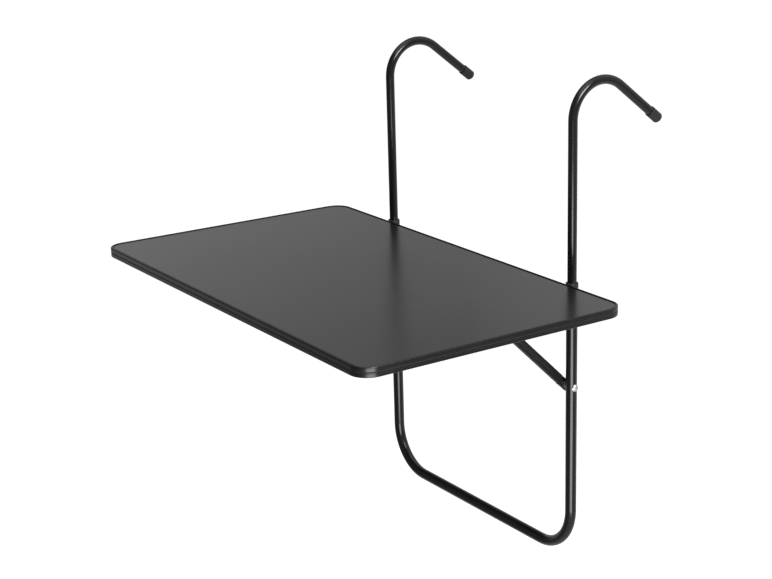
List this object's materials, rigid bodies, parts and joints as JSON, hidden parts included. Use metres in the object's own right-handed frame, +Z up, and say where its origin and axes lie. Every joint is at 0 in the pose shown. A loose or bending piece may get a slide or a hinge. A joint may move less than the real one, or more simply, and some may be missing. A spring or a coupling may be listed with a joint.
{
  "type": "balcony railing bar table",
  "caption": "Rectangular black table top that hangs from a railing by two tube hooks, with a tube frame, folding braces and adjustable height.",
  "frame": {"origin": "midway between the two hooks, at the inner top of their bends, where the railing bears", "axes": "+X along the railing to the right as the sitter sees it, +Y from the sitter to the railing, +Z up"},
  "size_m": [0.6998, 0.5799, 0.696],
  "materials": {
    "black_steel": "gloss black powder coat on steel",
    "brace_steel": "black powder coat on pressed steel",
    "cap_plastic": "black moulded plastic",
    "block_nylon": "black nylon",
    "zinc_steel": "bright zinc plate",
    "top_laminate": "satin charcoal laminate on fibreboard",
    "band_plastic": "black ribbed edge moulding"
  },
  "bodies": {
    "rail_hooks": {"left_hook_tube": "black_steel", "left_hook_cap": "cap_plastic", "left_button_spring": "zinc_steel", "right_hook_tube": "black_steel", "right_hook_cap": "cap_plastic", "right_button_spring": "zinc_steel"},
    "left_button": {"left_snap_button": "zinc_steel"},
    "right_button": {"right_snap_button": "zinc_steel"},
    "frame": {"frame_tube": "black_steel", "left_collar": "cap_plastic", "left_hinge_barrel": "black_steel", "left_brace_bolt": "zinc_steel", "left_brace_spacer": "zinc_steel", "left_brace_washer": "zinc_steel", "left_brace_nut": "zinc_steel", "right_collar": "cap_plastic", "right_hinge_barrel": "black_steel", "right_brace_bolt": "zinc_steel", "right_brace_spacer": "zinc_steel", "right_brace_washer": "zinc_steel", "right_brace_nut": "zinc_steel"},
    "table_top": {"top_panel": "top_laminate", "edge_band": "band_plastic", "left_hinge_bracket": "black_steel", "left_hinge_bolt": "zinc_steel", "left_hinge_nut": "zinc_steel", "left_brace_receiver": "black_steel", "right_hinge_bracket": "black_steel", "right_hinge_bolt": "zinc_steel", "right_hinge_nut": "zinc_steel", "right_brace_receiver": "black_steel", "hinge_screws": "zinc_steel", "receiver_screws": "zinc_steel"},
    "left_strut": {"left_brace": "brace_steel", "left_brace_pin": "zinc_steel", "left_brace_block": "block_nylon"},
    "right_strut": {"right_brace": "brace_steel", "right_brace_pin": "zinc_steel", "right_brace_block": "block_nylon"}
  },
  "joints": [
    {"name": "height_slide", "type": "slide", "parent": "rail_hooks", "child": "frame", "axis": [0, 0, 1], "range_m": [-0.025, 0.025], "deforming": ["left_snap_button", "right_snap_button", "left_button_spring", "right_button_spring"]},
    {"name": "top_fold", "type": "hinge", "parent": "frame", "child": "table_top", "pos_m": [0, -0.0642, -0.291], "axis": [1, 0, 0], "range_deg": [0, 90]},
    {"name": "left_brace_swing", "type": "hinge", "parent": "frame", "child": "left_strut", "pos_m": [-0.2, -0.051, -0.419], "axis": [1, 0, 0], "range_deg": [0, 134.5]},
    {"name": "right_brace_swing", "type": "hinge", "parent": "frame", "child": "right_strut", "pos_m": [0.2, -0.051, -0.419], "axis": [1, 0, 0], "range_deg": [0, 134.5]},
    {"name": "left_button_press", "type": "slide", "parent": "rail_hooks", "child": "left_button", "axis": [-1, 0, 0], "range_m": [0, 0.0045], "stiffness_N_per_m": 2000, "deforming": ["left_button_spring"]},
    {"name": "right_button_press", "type": "slide", "parent": "rail_hooks", "child": "right_button", "axis": [1, 0, 0], "range_m": [0, 0.0045], "stiffness_N_per_m": 2000, "deforming": ["right_button_spring"]}
  ],
  "couplings": [
    {"joint": "left_brace_swing", "follows": "top_fold", "ratio": 1.4944},
    {"joint": "right_brace_swing", "follows": "top_fold", "ratio": 1.4944}
  ]
}
